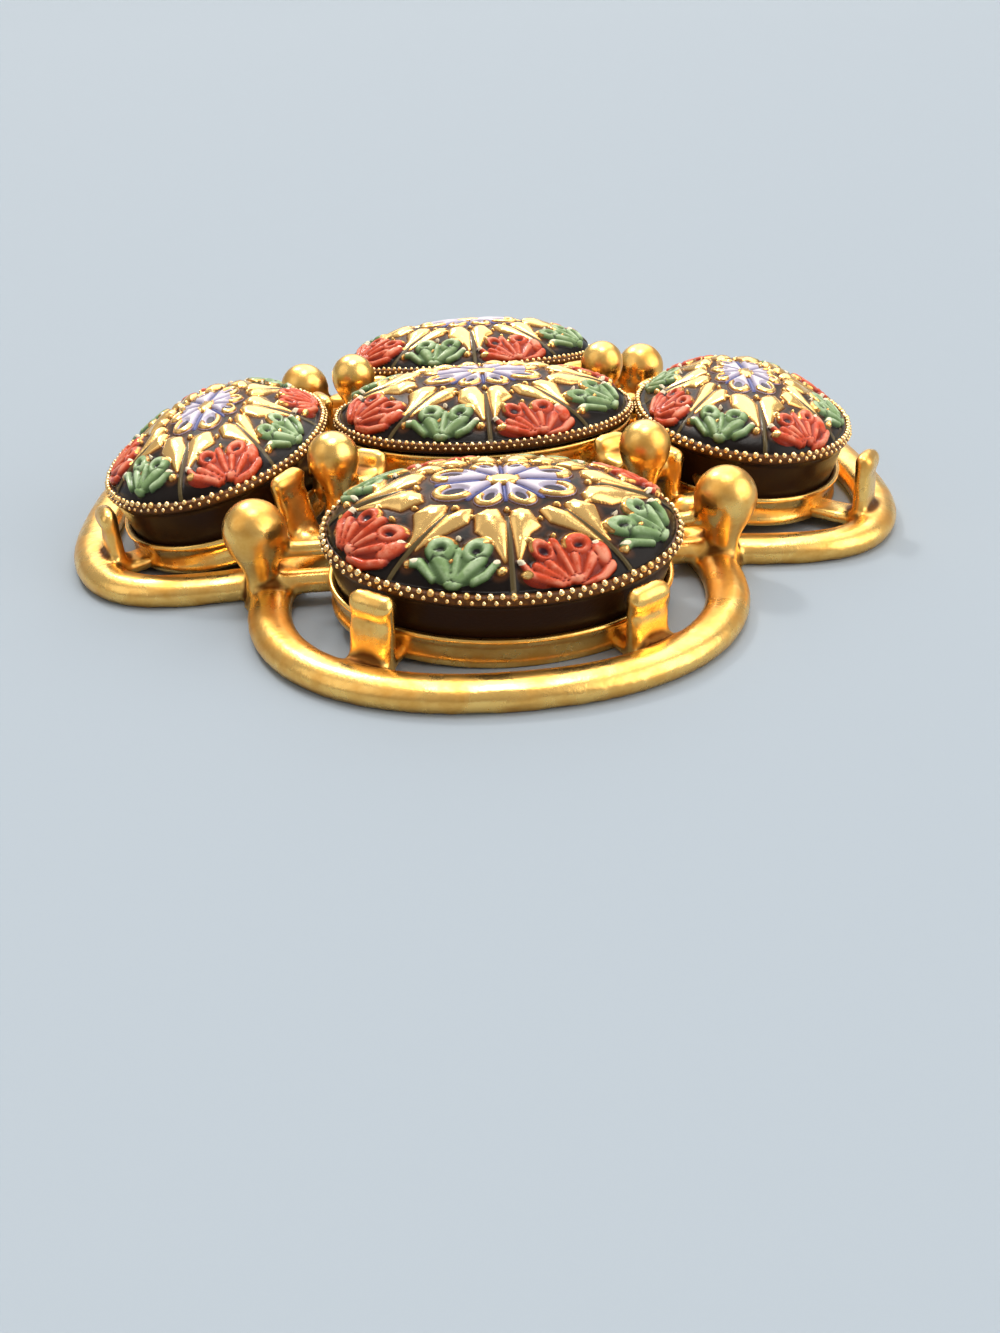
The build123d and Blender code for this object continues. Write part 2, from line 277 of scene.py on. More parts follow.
# Gold of the frame: soft cast metal in a random mottled tone, pitted; on the cage, painted shade browns
# and darkens its hollows
goldLook = {
    # The hollow colour is painted shade for the cage's hollows
    "bright": (1.0, 0.64, 0.19), "deep": (0.80, 0.41, 0.085), "hollowShade": (0.16, 0.06, 0.012),
    "waveSize": 420, "waveDetail": 4, "pitSize": 2600, "pitDetail": 3, "colourSpan": (0.28, 0.66),
    "roughness": 0.27, "roughSpan": (0.3, 0.7), "rougher": 0.10, "smoother": 0.05,
    # Painted shade of the hollows: its span on the cavity field, its spread by the noise, and extra
    # roughness there
    "hollowShadeSpan": (0.05, 0.55), "hollowShadeSpread": 0.5, "hollowRougher": 0.18,
    "pit": 0.25, "pitDepth": 0.00006, "wave": 0.2, "waveDepth": 0.00025,  # depths in metres
}


def makeGold(name, look, paintRecessShade=False):
    # With the recess shading on, the mesh's cavity field paints brown shade into the hollows, and dulls
    # them
    material, tree, shader = newMaterial(name)
    place = node(tree, "TexCoord").outputs["Object"]
    cloud = noiseOf(tree, place, look["waveSize"], look["waveDetail"])
    grain = noiseOf(tree, place, look["pitSize"], look["pitDetail"])
    colour = blendColour(tree, ramp(tree, cloud, *look["colourSpan"]), look["deep"], look["bright"])
    rough = ramp(tree, cloud, *look["roughSpan"],
                 look["roughness"] + look["rougher"], look["roughness"] - look["smoother"])
    if paintRecessShade:
        # Painted shade browns and darkens the hollows
        spread = calc(tree, "MULTIPLY", calc(tree, "SUBTRACT", cloud, 0.5), look["hollowShadeSpread"])
        hollowShade = calc(tree, "ADD", field(tree, "cavity"), spread)
        colour = blendColour(tree, ramp(tree, hollowShade, *look["hollowShadeSpan"]), colour, look["hollowShade"])
        duller = ramp(tree, hollowShade, *look["hollowShadeSpan"], 0.0, look["hollowRougher"])
        rough = calc(tree, "ADD", rough, duller)
    waves = bumpOf(tree, cloud, look["wave"], look["waveDepth"])
    pits = bumpOf(tree, grain, look["pit"], look["pitDepth"], Normal=waves)
    feedAll(tree, shader, {"Metallic": 1, "Base Color": colour, "Roughness": rough, "Normal": pits})
    return material


castGold = makeGold("castGold", goldLook)
# The cage's gold carries painted shade in its hollows
cageGoldPaintedShade = makeGold("cageGoldPaintedShade", goldLook, paintRecessShade=True)
pinGold = makeGold("pinGold", {**goldLook, "roughness": 0.2, "waveSize": 900})


# Enamel ornament as a height field over the dome, eight sectors to the turn
ornament = {
    "columns": 420, "domeRows": 126, "steps": 8, "knots": 1601, "endLead": 0.06, "endTrim": 0.01,
    "sectorWidth": 8.5, "radiusLength": 10.7,  # mm for one step times share, and for share 1
    "stretch": 0.055, "stretchOuter": (0.95, 0.45), "stretchInner": 0.3,
    "rise": 0.34, "flowerRise": 0.46, "flowerIn": 0.13,
    "middle": (0.8, 0.3),  # gilt and raised fields at the middle of the dome
}


def flat(u, share):
    # A place given in steps beside the sector's axis and share of the radius, in mm
    return ornament["sectorWidth"] * u * share, ornament["radiusLength"] * share


def ovalDepth(x, y, middle, halves, up=0.0):
    # Depth inside an oval in mm, positive inside, from the scaled radius and its slope
    centre = flat(*middle)
    u = (x - centre[0]) / halves[0]
    v = (y - (centre[1] + up)) / halves[1]
    radius = np.hypot(u, v)
    slope = np.hypot(u / halves[0], v / halves[1]) / np.maximum(radius, 1e-6)
    return (1 - radius) / np.maximum(slope, 1e-6)


def toSegment(x, y, start, end):
    # Share of the way along a segment to its nearest place, and the distance there
    (ax, ay), (bx, by) = start, end
    dx, dy = bx - ax, by - ay
    t = np.clip(((x - ax) * dx + (y - ay) * dy) / (dx * dx + dy * dy), 0, 1)
    return t, np.hypot(x - ax - t * dx, y - ay - t * dy)


def strokeDepth(x, y, points, radii):
    # Depth inside a brush stroke, whose radius changes along its line
    best = np.full(x.shape, nowhere)
    for start, end, ra, rb in zip(points, points[1:], radii, radii[1:]):
        t, distance = toSegment(x, y, start, end)
        best = np.maximum(best, ra + (rb - ra) * t - distance)
    return best


def patchDepth(x, y, corners, soft):
    # Depth inside a many-cornered patch with rounded corners
    inside = np.zeros(x.shape, bool)
    nearest = np.full(x.shape, -nowhere)
    for (ax, ay), (bx, by) in zip(corners, corners[1:] + corners[:1]):
        nearest = np.minimum(nearest, toSegment(x, y, (ax, ay), (bx, by))[1])
        inside ^= ((ay > y) != (by > y)) & (x < (bx - ax) * (y - ay) / (by - ay or 1e-9) + ax)
    return np.where(inside, nearest, -nearest) + soft


def bulge(depth, width, height):
    # Quarter round that climbs from 0 at the edge to its full height at a depth of width
    t = np.clip(depth / width, 0, 1)
    return height * np.sqrt(1 - (1 - t) ** 2)


def dished(depth, dent, shape, rise):
    # Quarter round less a hollow of the same kind
    side, edge, dentSide, dentDepth = shape
    return bulge(depth, side, rise) - bulge(dent + edge, dentSide, dentDepth)


# The flowers, places as (steps beside the axis, share of the radius), sizes in mm
wings = {
    "red": [[(-.455, .48), (-.41, .425), (-.24, .40), (-.07, .43), (-.06, .56), (-.24, .60),
             (-.425, .765)],
            [(.12, .435), (.33, .405), (.455, .49), (.455, .76), (.39, .67), (.30, .61), (.13, .54)]],
    "green": [[(-.455, .76), (-.455, .49), (-.37, .42), (-.19, .41), (-.12, .52), (-.29, .61),
               (-.40, .67)],
              [(-.06, .46), (.08, .405), (.31, .405), (.45, .52), (.445, .77), (.31, .655),
               (.06, .58)]],
}
rose = {
    "bed": [((.04, .835), (2.30, 1.10)), ((-.25, .885), (1.2, .55))],
    "rings": [((-.175, .735), (.80, .88), (.30, .27)), ((.20, .735), (1.02, .84), (.30, .17))],
    "bulbs": [((.345, .825), (.70, .86)), ((.02, .915), (.52, .34))],
    "ribs": [([(.0, .92), (-.03, .70)], [.22, .36]), ([(.03, .92), (.10, .80)], [.20, .36]),
             ([(.06, .93), (.25, .83)], [.20, .40]), ([(-.04, .92), (-.16, .82)], [.20, .38]),
             ([(-.07, .93), (-.27, .83)], [.20, .34])],
    "leaves": [([(-.40, .80), (-.33, .87), (-.12, .925)], [.24, .32, .30]),
               ([(.36, .90), (.22, .94), (.05, .95)], [.34, .28, .20])],
    "ends": [((-.375, .865), (.36, .24)), ((-.27, .665), (.24, .20)), ((.02, .655), (.20, .18))],
    "tips": [((-.405, .795), (.25, .22)), ((.37, .76), (.22, .16))],
}
tulip = {
    "bed": [((.0, .835), (1.80, 1.0))],
    "rings": [((-.215, .735), (1.08, .92), (.27, .25)), ((.145, .72), (1.0, .93), (.27, .22))],
    "bulbs": [((.02, .918), (.58, .30))],
    "ribs": [([(-.02, .90), (-.20, .78)], [.34, .56]), ([(.05, .90), (.19, .78)], [.34, .54]),
             ([(.02, .91), (-.03, .74)], [.22, .30])],
    "leaves": [([(-.40, .85), (-.33, .838), (-.15, .905)], [.26, .33, .24]),
               ([(.18, .895), (.27, .86), (.345, .80)], [.28, .32, .30])],
    "ends": [((-.425, .86), (.26, .24)), ((.405, .835), (.32, .28)), ((-.06, .80), (.15, .15)),
             ((.235, .675), (.24, .18))],
    "tips": [((-.375, .835), (.24, .18)), ((.355, .79), (.22, .18)), ((-.10, .655), (.18, .13))],
}
relief = {
    "bed": 0.45, "bulb": 1.05, "ends": 0.85, "tips": 0.95,  # shares of a flower's rise
    "bedSide": 0.6, "dentShift": 0.12,
    "ring": (0.6, 0.16, 0.34, 0.30),  # side, then edge, side and depth of its dent
    "gilt": (0.13, 0.10, 0.3, 0.5, 0.05),  # inset, half width, skew, slope, edge
    # The crease's paint is painted shade
    "crease": (0.09, 0.12, 0.13, 0.06),  # width, lowest lobe, depth, edge of its paint
    "wing": (0.10, 1.1, 0.28), "head": (0.22, 0.62, 0.14),  # rounding, side, rise; more, end, span
}
# Between the flowers: strokes as (half width, shares from and to, side, rise), pearls as
# (radius, rise), the one beyond a ray as (radius, share it lies at, part of the rise)
between = {
    "redPearl": (0.02, .50), "greenPearl": (-0.11, .47), "pearl": (0.20, 0.26),
    "ray": (0.14, .10, .31, 0.16, 0.14), "stem": (0.17, .46, .955, 0.17, 0.16), "slope": 9,
    "stepPearl": (0.25, .405, 0.9),
}
daisy = {
    "line": [(0, .07), (0, .278)], "radii": [.14, 1.0], "shape": (0.45, 0.18, 0.4, 0.24),
    "dent": ((0, .262), (.36, .60)), "dentEnd": .40,
    "crescent": (.240, 0.02, 0.06), "boss": 0.08, "bossSide": 0.6,  # from, edge and gap to the dent
}


def flowerFields(x, y, flower):
    # Height and paints of one flower
    height = np.zeros(x.shape)
    paint, hollowShade, gilt, tip = (np.full(x.shape, nowhere) for _ in range(4))
    full = ornament["flowerRise"]
    lobes = [np.zeros(x.shape)]
    for middle, halves in flower["bed"]:
        depth = ovalDepth(x, y, middle, halves)
        height = np.maximum(height, bulge(depth, relief["bedSide"], full * relief["bed"]))
        paint = np.maximum(paint, depth)
    for middle, halves, inner in flower["rings"]:
        depth = ovalDepth(x, y, middle, halves)
        dent = ovalDepth(x, y, middle, inner, relief["dentShift"])
        lobes.append(dished(depth, dent, relief["ring"], full))
        paint = np.maximum(paint, depth)
        # Painted shade fills the ring's dent
        hollowShade = np.maximum(hollowShade, dent)
        # A gilt line runs just inside the ring's edge, towards the middle of the dome
        inset, half, skew, slope, edge = relief["gilt"]
        centreX, centreY = flat(*middle)
        inner = (centreY - y - (x - centreX) * skew) * slope - edge
        gilt = np.maximum(gilt, np.minimum(half - np.abs(depth - inset), inner))
    for middle, halves in flower["bulbs"]:
        depth = ovalDepth(x, y, middle, halves)
        lobes.append(bulge(depth, min(halves), full * relief["bulb"]))
        paint = np.maximum(paint, depth)
    for line, radii in flower["ribs"] + flower["leaves"]:
        depth = strokeDepth(x, y, [flat(*p) for p in line], radii)
        lobes.append(bulge(depth, max(radii), full))
        paint = np.maximum(paint, depth)
    # A crease wherever the two highest lobes are almost level, darkened with painted shade
    second, first = np.sort(np.stack(lobes), axis=0)[-2:]
    width, lowest, deep, edge = relief["crease"]
    crease = np.clip(1 - (first - second) / width, 0, 1) * np.clip(second / lowest, 0, 1) * deep
    height = np.maximum(height, first - crease)
    hollowShade = np.maximum(hollowShade, crease - edge)
    for name, layer in (("ends", gilt), ("tips", tip)):
        for middle, halves in flower[name]:
            depth = ovalDepth(x, y, middle, halves)
            height = np.maximum(height, bulge(depth, min(halves), full * relief[name]))
            np.maximum(layer, depth, out=layer)
    return height, paint, hollowShade, gilt, tip


def sectorPlaces(angle, share):
    # Sector of each point, steps beside that sector's axis, and share of the radius
    knots = np.linspace(0, ornament["steps"], ornament["knots"])
    turn = 2 * np.pi * knots / ornament["steps"]
    turn = turn + ornament["endLead"] * np.sin(2 * turn) + ornament["endTrim"] * np.sin(4 * turn)
    step = np.interp(angle, turn, knots)
    sector = np.floor(step).astype(int) % ornament["steps"]
    # The inner ornament reaches further out along the oval than across it
    end, span = ornament["stretchOuter"]
    within = np.clip((end - share) / span, 0, 1) * np.clip(share / ornament["stretchInner"], 0, 1)
    return sector, step - np.floor(step) - 0.5, share - ornament["stretch"] * np.cos(2 * angle) * within


def ornamentFields(angle, share):
    # Relief height in mm and the paint depths at every point of the dome
    sector, u, share = sectorPlaces(angle, share)
    x, y = flat(u, share)
    isRed = sector % 2 == 0
    height = np.zeros(x.shape)
    layers = {name: np.full(x.shape, nowhere) for name in
              ("gold", "red", "green", "hollowShade", "pale", "petal", "blue", "olive")}
    for name, flower, chosen in (("red", rose, isRed), ("green", tulip, ~isRed)):
        hereX, hereY = x[chosen], y[chosen]
        rise, paint, hollowShade, gilt, tip = flowerFields(hereX, hereY + ornament["flowerIn"], flower)
        soft, side, wingRise = relief["wing"]
        more, end, span = relief["head"]
        wingRise = wingRise + more * np.clip((end - share[chosen]) / span, 0, 1)
        for corners in wings[name]:
            depth = patchDepth(hereX, hereY, [flat(*c) for c in corners], soft)
            rise = np.maximum(rise, bulge(depth, side, wingRise))
            gilt = np.maximum(gilt, depth)
        # Small pearl between the wings over each flower
        pearlX, pearlY = flat(*between[name + "Pearl"])
        radius, pearlRise = between["pearl"]
        pearl = radius - np.hypot(hereX - pearlX, hereY - pearlY)
        height[chosen] = np.maximum(rise, bulge(pearl, radius, pearlRise))
        layers["gold"][chosen] = np.maximum(gilt, pearl)
        layers[name][chosen] = paint
        layers["hollowShade"][chosen] = hollowShade
        layers["pale"][chosen] = tip
    # Daisy: spoon petals on the axes, each with painted shade in its hollow and a gilt crescent at its
    # end
    petal = strokeDepth(x, y, [flat(*p) for p in daisy["line"]], daisy["radii"])
    dent = ovalDepth(x, y, *daisy["dent"])
    height = np.maximum(height, dished(petal, dent, daisy["shape"], ornament["rise"]))
    layers["petal"] = petal
    layers["hollowShade"] = np.maximum(layers["hollowShade"], np.where(share < daisy["dentEnd"], dent, nowhere))
    start, edge, gap = daisy["crescent"]
    crescent = np.minimum(np.minimum(petal - edge, -dent - gap), y - flat(0, start)[1])
    # Between the petals: a blue ray, a pearl beyond it and a dark stem out to the rim
    sideX = ornament["sectorWidth"] * (0.5 - np.abs(u)) * share
    for name, paintName in (("ray", "blue"), ("stem", "olive")):
        half, start, end, side, rise = between[name]
        stroke = np.minimum(half - sideX, np.minimum(share - start, end - share) * between["slope"])
        height = np.maximum(height, bulge(stroke, side, rise))
        layers[paintName] = stroke
    radius, at, part = between["stepPearl"]
    pearl = radius - np.hypot(sideX, ornament["radiusLength"] * (share - at))
    height = np.maximum(height, bulge(pearl, radius, ornament["rise"] * part))
    boss = (daisy["boss"] - share) * ornament["radiusLength"]
    height = np.maximum(height, bulge(boss, daisy["bossSide"], ornament["rise"]))
    for depth in (crescent, pearl, boss):
        layers["gold"] = np.maximum(layers["gold"], depth)
    return height, layers


def domeRows():
    # Shares of the radius at equal lengths of arc along the long meridian of the dome
    inset = (halfLong - stone["rimInset"]) / halfLong
    lowest = np.arccos((stone["rimRise"] + stone["rimOverlap"]) / stone["domeRise"])
    turn = np.linspace(0, lowest, 2000)
    run = lengthAlong(np.sin(turn) * halfLong, np.cos(turn) * stone["domeRise"])
    even = np.interp(np.linspace(0, run[-1], ornament["domeRows"] + 1), run, turn)[1:]
    return np.sin(even) * inset


def wallProfile(wall):
    # Insets from the rim's edge and levels: the band, the tapering wall, the rounded foot
    taper = stone["wallTaper"]
    profile = list(stone["band"])
    inset, level = profile[-1]
    foot = stone["seatDepth"] - wall
    for t in np.linspace(0, 1, stone["wallRows"] + 1)[1:]:
        profile.append((inset + (taper - inset) * t, level + (foot - level) * t))
    profile += [(taper + more, rise - wall) for more, rise in stone["foot"]]
    return np.array(profile).T


def cabochonShell(wall, more, steeper):
    # Dome with relief, rim band, tapering wall and foot, in the cabochon's own frame
    angle = circle(ornament["columns"])
    angles, rows = np.meshgrid(angle, domeRows())
    height, layers = ornamentFields(angles, rows)
    longDome = halfLong - stone["rimInset"]
    wideDome = halfWide - stone["rimInset"]
    shrink = rows * halfLong / longDome
    x = shrink * longDome * np.cos(angles)
    y = shrink * wideDome * np.sin(angles)
    # z is rise times (1 - radius squared) to a power that grows from the long to the short side
    rise = stone["domeRise"] + more
    shortPower = stone["shortPower"] + steeper
    fall = stone["longPower"] + (shortPower - stone["longPower"]) * np.sin(angles) ** 2
    inside = np.maximum(1 - shrink ** 2, 0.0004)
    z = rise * inside ** fall
    slope = 2 * rise * fall * inside ** (fall - 1) * shrink
    slopes = slope * np.cos(angles) / longDome, slope * np.sin(angles) / wideDome
    normal = unit(np.stack([*slopes, np.ones(z.shape)], -1))
    z = np.maximum(z, stone["rimRise"] - stone["rimOverlap"])
    fade = np.clip((1 - shrink) / stone["reliefFade"], 0, 1)
    dome = np.stack([x, y, z], -1) + normal * (height * fade)[..., None]
    inset, level = wallProfile(wall)
    below = ovalRings(halfLong - inset, halfWide - inset, level, angle)
    points, quads, fans = closedTube(np.concatenate([dome, below]))
    points[-2] = (0, 0, rise + ornament["rise"])
    filled = {}
    middleGilt, middleRaised = ornament["middle"]
    for name, values in layers.items():
        # The last two values belong to the middles of the dome and of the foot
        isGold = name == "gold"
        # Painted warm glow of the gold on the wall; the band under the beads sits at the gilding's edge,
        # partly gilt and fully glowing
        outside = np.full(below.shape[:2], enamelLook["wallGoldGlow"] if isGold else nowhere)
        if isGold:
            outside[:stone["beadedRows"]] = enamelLook["bandGiltGlow"]
        ends = [middleGilt if isGold else nowhere, nowhere]
        filled[name] = np.append(np.concatenate([values, outside]).ravel(), ends)
    heights = np.concatenate([height, np.zeros(below.shape[:2])]).ravel()
    filled["raised"] = np.append(heights, [middleRaised, 0])
    quads, fans = outward(points, quads, fans)
    return points, quads, fans, filled


enamelLook = {
    # The warm ground colour is a painted warm glow of the gold on the dark ground
    "ground": (0.006, 0.003, 0.002), "goldGlowOnGround": (0.070, 0.024, 0.007),
    # Each paint has a painted shade colour, a lit colour and a painted highlight colour
    "redShaded": (0.10, 0.006, 0.003), "redLit": (0.56, 0.070, 0.026), "redTop": (0.72, 0.27, 0.16),
    "greenShaded": (0.022, 0.048, 0.014), "greenLit": (0.19, 0.29, 0.12), "greenTop": (0.42, 0.52, 0.32),
    "petalShaded": (0.30, 0.27, 0.42), "petalLit": (0.66, 0.60, 0.63), "petalTop": (0.80, 0.72, 0.60),
    "blue": (0.08, 0.09, 0.24), "olive": (0.085, 0.062, 0.026), "pale": (0.74, 0.64, 0.46),
    "goldShaded": (0.38, 0.15, 0.028), "goldBright": (0.90, 0.57, 0.20), "giltMetal": 0.8,
    # The hollow colour is painted shade for dents and creases
    "hollowShade": (0.012, 0.006, 0.012), "hollowShadeShare": 0.92, "hollowShadeSpan": (-0.06, 0.10),
    # Depths of the wall and the band for the painted warm glow of the gold
    "goldGlowFrom": -0.45, "wallGoldGlow": -0.3, "bandGiltGlow": -0.01,  # depths outside the gilding
    "cloudSize": 700, "fineSize": 3500, "waver": 0.05, "edge": 0.03,
    # Spans of the painted light and the painted highlight on the raised paints
    "litSpan": (0.10, 0.42), "litShare": 0.80, "cloudShare": 0.30,
    "highlightSpan": (0.29, 0.50), "highlightCloud": (0.38, 0.60), "giltEdge": (-0.02, 0.03),
    "giltSpan": (0.0, 0.14), "roughSpan": (0.0, 0.12), "groundRough": 0.26, "raisedRough": 0.10,
    "cloudRough": 0.12,
    "specular": 0.13, "bump": 0.2, "bumpDepth": 0.00008,  # depth in metres
}


def makeEnamel(name, look):
    # Paints one over the other, each where its depth field is above zero
    material, tree, shader = newMaterial(name)
    place = node(tree, "TexCoord").outputs["Object"]
    cloud = noiseOf(tree, place, look["cloudSize"], 4)
    fine = noiseOf(tree, place, look["fineSize"], 3)
    raised = field(tree, "raised")
    # Painted light: each paint grows lighter with the relief's height
    litAmount = calc(tree, "MULTIPLY", ramp(tree, raised, *look["litSpan"]), look["litShare"])
    litAmount = calc(tree, "ADD", litAmount, calc(tree, "MULTIPLY", cloud, look["cloudShare"]))
    # Painted highlight on the highest lobes
    top = ramp(tree, raised, *look["highlightSpan"])
    top = calc(tree, "MULTIPLY", top, ramp(tree, cloud, *look["highlightCloud"]))
    waver = calc(tree, "MULTIPLY", calc(tree, "SUBTRACT", fine, 0.5), look["waver"])
    # Painted warm glow of the gold on the ground near the gilding
    near = ramp(tree, field(tree, "gold"), look["goldGlowFrom"], 0.0)
    colour = blendColour(tree, near, look["ground"], look["goldGlowOnGround"])

    def over(base, fieldName, paint):
        depth = calc(tree, "ADD", field(tree, fieldName), waver)
        return blendColour(tree, ramp(tree, depth, -look["edge"], look["edge"]), base, paint)

    def paintOf(name):
        # Painted shade in the creases, painted light on the rises and a painted highlight on the highest
        # lobes
        body = blendColour(tree, litAmount, look[name + "Shaded"], look[name + "Lit"])
        return blendColour(tree, top, body, look[name + "Top"])

    for name in ("olive", "blue"):
        colour = over(colour, name, look[name])
    for name in ("petal", "green", "red"):
        colour = over(colour, name, paintOf(name))
    # Painted shade darkens the dents and creases
    shadeColour = blendColour(tree, look["hollowShadeShare"], colour, look["hollowShade"])
    colour = blendColour(tree, ramp(tree, field(tree, "hollowShade"), *look["hollowShadeSpan"]), colour, shadeColour)
    colour = over(colour, "pale", look["pale"])
    goldDepth = calc(tree, "ADD", field(tree, "gold"), waver)
    goldShare = ramp(tree, goldDepth, *look["giltEdge"])
    gilt = ramp(tree, goldDepth, *look["giltSpan"])
    gilt = blendColour(tree, gilt, look["goldShaded"], look["goldBright"])
    colour = blendColour(tree, goldShare, colour, gilt)
    # The bare ground is duller than the raised paints and the gilding
    bare = ramp(tree, raised, *look["roughSpan"], look["groundRough"], look["raisedRough"])
    rough = calc(tree, "ADD", bare, calc(tree, "MULTIPLY", cloud, look["cloudRough"]))
    bump = bumpOf(tree, fine, look["bump"], look["bumpDepth"])
    metallic = calc(tree, "MULTIPLY", goldShare, look["giltMetal"])
    feedAll(tree, shader, {"Base Color": colour, "Metallic": metallic, "Roughness": rough,
                           "Specular IOR Level": look["specular"], "Normal": bump})
    return material


# The enamel carries painted light and shade by height, in hollows, and near the gold
enamel = makeEnamel("enamelWithPaintedLight", enamelLook)
for place in seats:
    points, quads, fans, fields = cabochonShell(wallOf(place), *stone["fuller"].get(place, (0.0, 0.0)))
    mesh = makeMesh("enamel_" + place, placed(points, place), quads, fans, fields)
    makePiece("enamel_" + place, mesh, enamel, "enamel", "cabochon_" + place)


# Beaded rims: two staggered rows of gilt beads round every cabochon
beading = {"count": 88, "around": 8, "rings": 5,
           "rows": [(0.24, 0.34, 0.25, 0.0), (0.03, 0.03, 0.165, 0.5)],  # inset, level, radius, offset
           "fine": {"centre": 1.3, "back": 1.3, "left": 1.1},  # more and smaller beads
           "seed": 7, "stray": 0.02, "sizes": (0.86, 1.1)}


def ballRings(count, around):
    # Rings of a ball of radius 1 between its poles
    tilt = np.pi * (np.arange(count) + 1) / (count + 1)
    return ovalRings(np.sin(tilt), np.sin(tilt), np.cos(tilt), circle(around))


def beadShell(radius):
    points, quads, fans = closedTube(ballRings(beading["rings"], beading["around"]) * radius)
    points[-2], points[-1] = (0, 0, radius), (0, 0, -radius)
    return points, quads, fans


def ovalPlaces(count, inset, level, offset):
    # Places at equal lengths along the oval rim
    long, wide = halfLong - inset, halfWide - inset
    turn = np.linspace(0, 2 * np.pi, 4001)
    run = lengthAlong(long * np.cos(turn), wide * np.sin(turn))
    at = np.interp((np.arange(count) + offset) / count * run[-1], run, turn)
    return np.stack([long * np.cos(at), wide * np.sin(at), np.full(count, level)], -1)


def beadRims():
    dice = np.random.default_rng(beading["seed"])
    parts = []
    for place in seats:
        fine = beading["fine"].get(place, 1.0)
        count = round(beading["count"] * fine)
        for inset, level, radius, offset in beading["rows"]:
            spots = ovalPlaces(count, inset, level, offset)
            points, quads, fans = beadShell(radius / fine)
            spots = placed(spots + dice.normal(0, beading["stray"], spots.shape), place)
            sizes = dice.uniform(*beading["sizes"], count)
            starts = np.arange(count)[:, None, None] * len(points)
            parts.append(((points[None] * sizes[:, None, None] + spots[:, None]).reshape(-1, 3),
                          (quads[None] + starts).reshape(-1, 4), (fans[None] + starts).reshape(-1, 3)))
    return gather(parts)


giltBeads = makeGold("giltBeads", {**goldLook, "bright": (1.0, 0.77, 0.40), "deep": (0.80, 0.45, 0.14),
                                   "roughness": 0.22, "waveSize": 900})
makePiece("rim_beads", makeMesh("rim_beads", *beadRims()), giltBeads, "gold")


# Oval settings: rings along a profile of (outward, height) pairs from the floor to the lip
cup = {
    "columns": 260, "gap": 0.05, "wall": 0.35, "height": 1.8, "floorLevel": 0.03,
    "centre": {"reach": 0.5, "flange": 0.0, "lift": 0.0},
    "outer": {"reach": 0.15, "flange": 0.2, "lift": 0.55},
    # Parts of the profile, each measured from its own corner
    "floor": [(-1.2, 0.02)], "flange": [(-0.2, 0.0), (-0.03, 0.08), (0.0, 0.26), (-0.05, 0.46)],
    "slope": [(0.0, 0.62)], "neck": [(0.03, 0.72)],
    "groove": [(0.0, -0.75), (-0.06, -0.62), (0.02, -0.50)],
    "lip": [(-0.08, -0.42), (0.0, -0.28), (0.0, -0.14), (-0.10, 0.0), (-0.26, 0.0)],
    "inside": [(0.04, -0.12), (0.0, -0.45), (-0.1, -0.62), (-1.2, -0.62)],
    "climb": (0.75, 0.9, -0.05, 0.26),  # start, drop of its end below the top, inner edge, lean
}


def cupFloor(place):
    # Level of a setting's floor under the rim of its cabochon
    return stone["seatDepth"] - wallOf(place) - cup["height"]


def cupShell(place):
    shape = cup["centre" if place == "centre" else "outer"]
    outer, top = cup["gap"] + cup["wall"], cup["height"]
    corners = {"floor": (0, 0), "flange": (outer + shape["flange"], 0),
               "slope": (outer + shape["flange"] * 0.5, 0), "neck": (outer, 0), "groove": (outer, top),
               "lip": (outer + shape["reach"], top), "inside": (0, top)}
    profile = [(a + out, b + up) for name, (out, up) in corners.items() for a, b in cup[name]]
    out, level = np.array(profile).T
    # The wall and the lip of a lifted cup climb and lean out along the cabochon
    start, drop, edge, lean = cup["climb"]
    climb = np.clip((level - start) / (top - drop), 0, 1) * shape["lift"] * (out > edge)
    out, level = out + lean * climb, level + climb + cupFloor(place)
    rings = ovalRings(footLong + out, footWide + out, level, circle(cup["columns"]))
    points, quads, fans = closedTube(rings)
    points = placed(points, place)
    points[:, 2] = np.maximum(points[:, 2], cup["floorLevel"])
    return points, quads, fans


cupMesh = makeMesh("oval_settings", *gather([cupShell(place) for place in seats]))
makePiece("oval_settings", cupMesh, castGold, "gold", "frame")


# Cage: wire lobes, ball posts, struts, rungs and claws, melted into one cast surface
wire = {"width": 3.2, "height": 1.9, "side": 0.75, "foot": 0.25, "footOut": 0.1, "footUp": 0.3,
        "along": 160, "arc": 22,
        # Middle, margin, widening, shoulder, fullness, turn past the shoulders, tail
        "endLobe": (20.8, 3.2, 4.0, -2.3, 2.25, 0.25, 14.0),
        "sideLobe": (21.8, 1.6, 2.8, 1.5, 2.6, 0.33, 18.0)}
posts = {
    # Outer and inner post: x, y, height of the ball, ball radius
    "frontLeft": ((-17.4, -17.0, 5.89, 2.35), (-11.8, -10.3, 8.59, 2.0)),
    "frontRight": ((16.8, -16.5, 5.89, 2.35), (11.7, -11.6, 8.39, 2.0)),
    "backLeft": ((-16.0, 16.9, 5.89, 2.3), (-10.9, 11.2, 8.39, 2.0)),
    "backRight": ((16.7, 16.9, 5.89, 2.3), (11.9, 10.6, 8.39, 2.0)),
}
post = {
    "around": 36, "rings": 60, "thinnest": 0.02,
    # Drop below the ball's middle and radius there, as shares of the ball's radius
    "profile": [(-1.0, 0.0), (-0.98, 0.2), (-0.9, 0.436), (-0.75, 0.661), (-0.5, 0.866), (-0.25, 0.968),
                (0, 1), (0.26, 0.966), (0.6, 0.86), (0.9, 0.70), (1.26, 0.54), (1.6, 0.48),
                (1.86, 0.50), (2.3, 0.58), (2.6, 0.72)],
}
